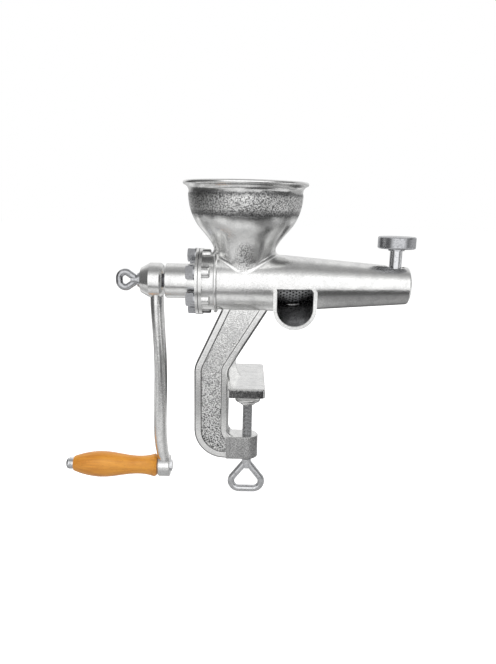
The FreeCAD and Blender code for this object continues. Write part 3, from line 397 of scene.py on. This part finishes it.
def lacquered_beech(name):
    """Turned beech under honey lacquer: long streaks of grain along the grip, dark short pores, wet gloss."""
    material, tree = new_material(name)
    place = add(tree, "ShaderNodeTexCoord").outputs["Object"]
    along = add(tree, "ShaderNodeMapping", {"Vector": place, "Scale": (STREAK_SQUEEZE, 1.0, 1.0)})
    flecks = add(tree, "ShaderNodeMapping", {"Vector": place, "Scale": (PORE_SQUEEZE, 1.0, 1.0)})
    streak = add(tree, "ShaderNodeTexNoise",
                 {"Vector": along, "Scale": per(BEECH_STREAK), "Detail": 4.0, "Roughness": 0.6})
    pores = add(tree, "ShaderNodeTexNoise", {"Vector": flecks, "Scale": per(BEECH_PORE), "Detail": 2.0})
    cloud = add(tree, "ShaderNodeTexNoise", {"Vector": place, "Scale": per(BEECH_CLOUD), "Detail": 2.0})
    band = add(tree, "ShaderNodeMapRange", {"Value": streak, "From Min": 0.32, "From Max": 0.68})
    pale = add(tree, "ShaderNodeMapRange",
               {"Value": cloud, "From Min": 0.35, "From Max": 0.7, "To Max": 0.45})
    dark = add(tree, "ShaderNodeMapRange",
               {"Value": pores, "From Min": 0.62, "From Max": 0.74, "To Max": 0.55})
    colour = layered(tree, "#D4902B", [(band, "#B77119"), (pale, "#E0A03E"), (dark, "#8A4F14")])
    matte = add(tree, "ShaderNodeMapRange",
                {"Value": streak, "From Min": 0.3, "From Max": 0.7, "To Min": 0.32, "To Max": 0.46})
    bump = add(tree, "ShaderNodeBump", {"Height": pores, "Strength": 0.12, "Distance": 0.1 * MM})
    finish_material(tree, {"Base Color": colour, "Roughness": matte, "Normal": bump,
                           "Coat Weight": 0.35, "Coat Roughness": 0.2})
    return material


def gasket_rubber(name):
    """Pressed nitrile sheet: near black, matte, with a fine cloth-like tooth."""
    material, tree = new_material(name)
    place = add(tree, "ShaderNodeTexCoord").outputs["Object"]
    tooth = add(tree, "ShaderNodeTexNoise", {"Vector": place, "Scale": per(RUBBER_TOOTH), "Detail": 2.0})
    colour = layered(tree, "#1B1B1C", [(tooth, "#2C2C2D")])
    bump = add(tree, "ShaderNodeBump", {"Height": tooth, "Strength": 0.3, "Distance": 0.1 * MM})
    finish_material(tree, {"Base Color": colour, "Roughness": 0.75, "Normal": bump})
    return material


def paint_nodes():
    """Give every CAD node the finish of its real piece."""
    forging = tinned_iron("tinned_forging")
    steel = bright_steel("bright_plated_steel")
    grey = bright_steel("grey_fittings_steel", light="#BCBDC0", dark="#4E4F53", polish=0.16)
    brass = bright_steel("turned_brass", light="#D8B25A", dark="#8A6A2C", polish=0.25)
    finishes = {
        "body_casting": tinned_iron("tinned_sand_cast_iron", whole_casting=True),
        "bearing_cover": forging, "crank_arm": forging, "clamp_pad": forging,
        "auger": bright_steel("dark_feed_screw_iron", light="#6C6C70", dark="#38383B", polish=0.32),
        "cover_bolts": grey, "cover_washers": grey, "crank_eye_screw": grey, "crank_washer": grey,
        "strainer": bright_steel("perforated_tin_plate", light="#C9CACC", polish=0.24),
        "bearing_bush": brass, "thrust_washer": brass,
        "cover_gasket": gasket_rubber("nitrile_gasket"),
        "wooden_grip": lacquered_beech("lacquered_beech"),
        "clamp_screw": bright_steel("threaded_clamp_steel", dark="#55565A", polish=0.22, threaded=True),
        "throttle_knob": bright_steel("grey_knob_steel", light="#C2C3C6", dark="#5E5F63", polish=0.2),
    }
    for name, node in nodes.items():
        node.data.materials.clear()
        node.data.materials.append(finishes.get(name, steel))


def grade(ramp_node, stops):
    """Give a colour ramp its grey levels, as (position, level) stops."""
    elements = ramp_node.color_ramp.elements
    while len(elements) < len(stops):
        elements.new(0.5)
    for element, (position, level) in zip(elements, stops):
        element.position = position
        element.color = (level, level, level, 1.0)


def room_level(tree):
    """What metal sees of the room: a bright front, a softer back, and dark above the front and at the sides.

    The right side is lit again low down and in its back corner.
    """
    spot = add(tree, "ShaderNodeTexCoord")
    way = add(tree, "ShaderNodeSeparateXYZ", {0: spot.outputs["Generated"]}).outputs
    rise = add(tree, "ShaderNodeMapRange", {"Value": way["Z"], "From Min": -1.0})
    front = add(tree, "ShaderNodeValToRGB", {0: rise})
    grade(front, [(0.0, 0.6), (0.2, 0.7), (0.42, 1.1), (0.5, 1.25), (0.78, 1.35), (0.88, 0.7), (0.965, 0.3),
                  (1.0, 0.45)])
    back = add(tree, "ShaderNodeValToRGB", {0: rise})
    grade(back, [(0.0, 0.6), (0.45, 0.6), (0.55, 0.85), (0.75, 0.85), (0.92, 0.9), (1.0, 0.45)])
    behind = add(tree, "ShaderNodeMapRange", {"Value": way["Y"], "From Min": 0.0, "From Max": 0.4},
                 interpolation_type="SMOOTHSTEP")
    level = add(tree, "ShaderNodeMix", {0: behind, 6: front, 7: back}, data_type="RGBA").outputs[2]
    side = add(tree, "ShaderNodeMath", {0: way["X"]}, operation="ABSOLUTE")
    wing = add(tree, "ShaderNodeMapRange",
               {"Value": side, "From Min": 0.5, "From Max": 0.85, "To Min": 1.0, "To Max": 0.12},
               interpolation_type="SMOOTHSTEP")
    corner = add(tree, "ShaderNodeMath", {0: way["X"], 1: way["Y"]}, operation="ADD")
    corner = add(tree, "ShaderNodeMapRange",
                 {"Value": corner, "From Min": 0.95, "From Max": 1.3, "To Max": 0.8},
                 interpolation_type="SMOOTHSTEP")
    low_right = add(tree, "ShaderNodeMath", {0: way["Z"], 1: -1.5, 2: way["X"]}, operation="MULTIPLY_ADD")
    low_right = add(tree, "ShaderNodeMapRange",
                    {"Value": low_right, "From Min": 0.95, "From Max": 1.2, "To Max": 0.95},
                    interpolation_type="SMOOTHSTEP")
    for lit in (corner, low_right):
        wing = add(tree, "ShaderNodeMath", {0: wing, 1: lit}, operation="MAXIMUM")
    return masked(tree, level, wing)


def studio_world():
    """White room: white to the camera, even light on dull things, and the room's own pattern in metal."""
    world = bpy.data.worlds.new("studio_room")
    bpy.context.scene.world = world
    world.use_nodes = True
    tree = world.node_tree
    tree.nodes.clear()
    rays = add(tree, "ShaderNodeLightPath").outputs
    room = add(tree, "ShaderNodeBackground", {"Color": room_level(tree)})
    ambient = add(tree, "ShaderNodeBackground", {"Color": WHITE, "Strength": 0.5})
    white = add(tree, "ShaderNodeBackground", {"Color": WHITE})
    shiny = add(tree, "ShaderNodeMath", {0: rays["Is Glossy Ray"], 1: rays["Is Transmission Ray"]},
                operation="MAXIMUM")
    bounced = add(tree, "ShaderNodeMixShader", {0: shiny, 1: ambient, 2: room})
    seen = add(tree, "ShaderNodeMixShader", {0: rays["Is Camera Ray"], 1: bounced, 2: white})
    add(tree, "ShaderNodeOutputWorld", {"Surface": seen})


def studio_floor():
    """Wide white floor just under the object, bright enough to read as white, that keeps a faint shadow."""
    low = cad_box[0].z - FLOOR_DROP
    corners = np.array([(-1, -1), (1, -1), (1, 1), (-1, 1)]) * FLOOR_REACH
    mesh = bpy.data.meshes.new("floor")
    mesh.from_pydata([(x, y, low) for x, y in corners], [], [(0, 1, 2, 3)])
    floor = bpy.data.objects.new("floor", mesh)
    bpy.context.scene.collection.objects.link(floor)
    material, tree = new_material("white_floor")
    paper = add(tree, "ShaderNodeBsdfDiffuse", {"Color": linear("#E6E6E6")})
    glow = add(tree, "ShaderNodeEmission", {"Color": WHITE, "Strength": 0.62})
    both = add(tree, "ShaderNodeAddShader", {0: paper, 1: glow})
    rays = add(tree, "ShaderNodeLightPath").outputs
    shown = add(tree, "ShaderNodeMixShader", {0: rays["Is Camera Ray"], 1: paper, 2: both})
    add(tree, "ShaderNodeOutputMaterial", {"Surface": shown})
    mesh.materials.append(material)
    floor.visible_glossy = False


def grey_card():
    """Card on the floor that only metal sees: pale, with a dark wedge by the outlet that widens outwards."""
    low = cad_box[0].z - FLOOR_DROP / 2
    mesh = bpy.data.meshes.new("grey_card")
    mesh.from_pydata([(x, y, low) for x in CARD_X for y in CARD_Y], [], [(0, 2, 3, 1)])
    card = bpy.data.objects.new("grey_card", mesh)
    bpy.context.scene.collection.objects.link(card)
    material, tree = new_material("grey_card")
    spot = add(tree, "ShaderNodeTexCoord")
    axes = add(tree, "ShaderNodeSeparateXYZ", {0: spot.outputs["Object"]}).outputs
    away = add(tree, "ShaderNodeMath", {0: axes["Y"]}, operation="ABSOLUTE")
    far = add(tree, "ShaderNodeMapRange", {"Value": away, "From Max": CARD_Y[1]})
    dark = add(tree, "ShaderNodeValToRGB", {0: far})
    grade(dark, [(0.0, 0.34), (0.18, 0.26), (0.34, 0.09), (0.7, 0.09), (0.84, 0.3), (1.0, 1.0)])
    pale = add(tree, "ShaderNodeValToRGB", {0: far})
    grade(pale, [(0.0, 0.45), (0.06, 0.5), (0.16, 0.8), (0.25, 0.8), (0.36, 0.22), (0.46, 0.28), (0.62, 0.9),
                 (1.0, 1.0)])
    off = add(tree, "ShaderNodeMath", {0: axes["X"], 1: CARD_DARK_X}, operation="SUBTRACT")
    off = add(tree, "ShaderNodeMath", {0: off}, operation="ABSOLUTE")
    off = add(tree, "ShaderNodeMath", {0: away, 1: -CARD_DARK_SPREAD, 2: off}, operation="MULTIPLY_ADD")
    outlet = add(tree, "ShaderNodeMapRange",
                 {"Value": off, "From Min": CARD_DARK_HALF, "From Max": CARD_DARK_HALF + CARD_DARK_FADE,
                  "To Min": 1.0, "To Max": 0.0}, interpolation_type="SMOOTHSTEP")
    level = add(tree, "ShaderNodeMix", {0: outlet, 6: pale, 7: dark}, data_type="RGBA").outputs[2]
    glow = add(tree, "ShaderNodeEmission", {"Color": level})
    add(tree, "ShaderNodeOutputMaterial", {"Surface": glow})
    mesh.materials.append(material)
    card.visible_camera = False
    card.visible_diffuse = False
    card.visible_shadow = False


def softbox(name, place, size, power):
    """Square area lamp that faces the object's middle and leaves the metal's reflections to the room."""
    lamp = bpy.data.lights.new(name, "AREA")
    lamp.size = size
    lamp.energy = power
    box = bpy.data.objects.new(name, lamp)
    bpy.context.scene.collection.objects.link(box)
    box.location = place
    middle = (cad_box[0] + cad_box[1]) / 2
    box.rotation_euler = (box.location - middle).to_track_quat("Z", "Y").to_euler()
    box.visible_glossy = False


def photo_camera():
    """Camera at the photograph's place: looking down at the object's middle, rolled a little."""
    camera = bpy.data.cameras.new("photo_camera")
    camera.sensor_fit = "VERTICAL"
    camera.sensor_height = SENSOR
    camera.lens = FOCAL_PIXELS * SENSOR / IMAGE_HEIGHT
    holder = bpy.data.objects.new("photo_camera", camera)
    bpy.context.scene.collection.objects.link(holder)
    turn = Euler((math.pi / 2 - CAMERA_PITCH, 0.0, 0.0)).to_matrix() @ Matrix.Rotation(CAMERA_ROLL, 3, "Z")
    holder.matrix_world = Matrix.Translation(CAMERA_PLACE) @ turn.to_4x4()
    bpy.context.scene.camera = holder


paint_nodes()
studio_world()
studio_floor()
grey_card()
softbox("key_softbox", place=(-0.35, -0.9, 1.1), size=0.9, power=12.0)
softbox("fill_softbox", place=(0.9, -0.7, 0.5), size=0.7, power=5.0)
softbox("rim_softbox", place=(0.2, 0.9, 0.9), size=0.8, power=6.0)
photo_camera()
bpy.context.scene.view_settings.view_transform = "Standard"
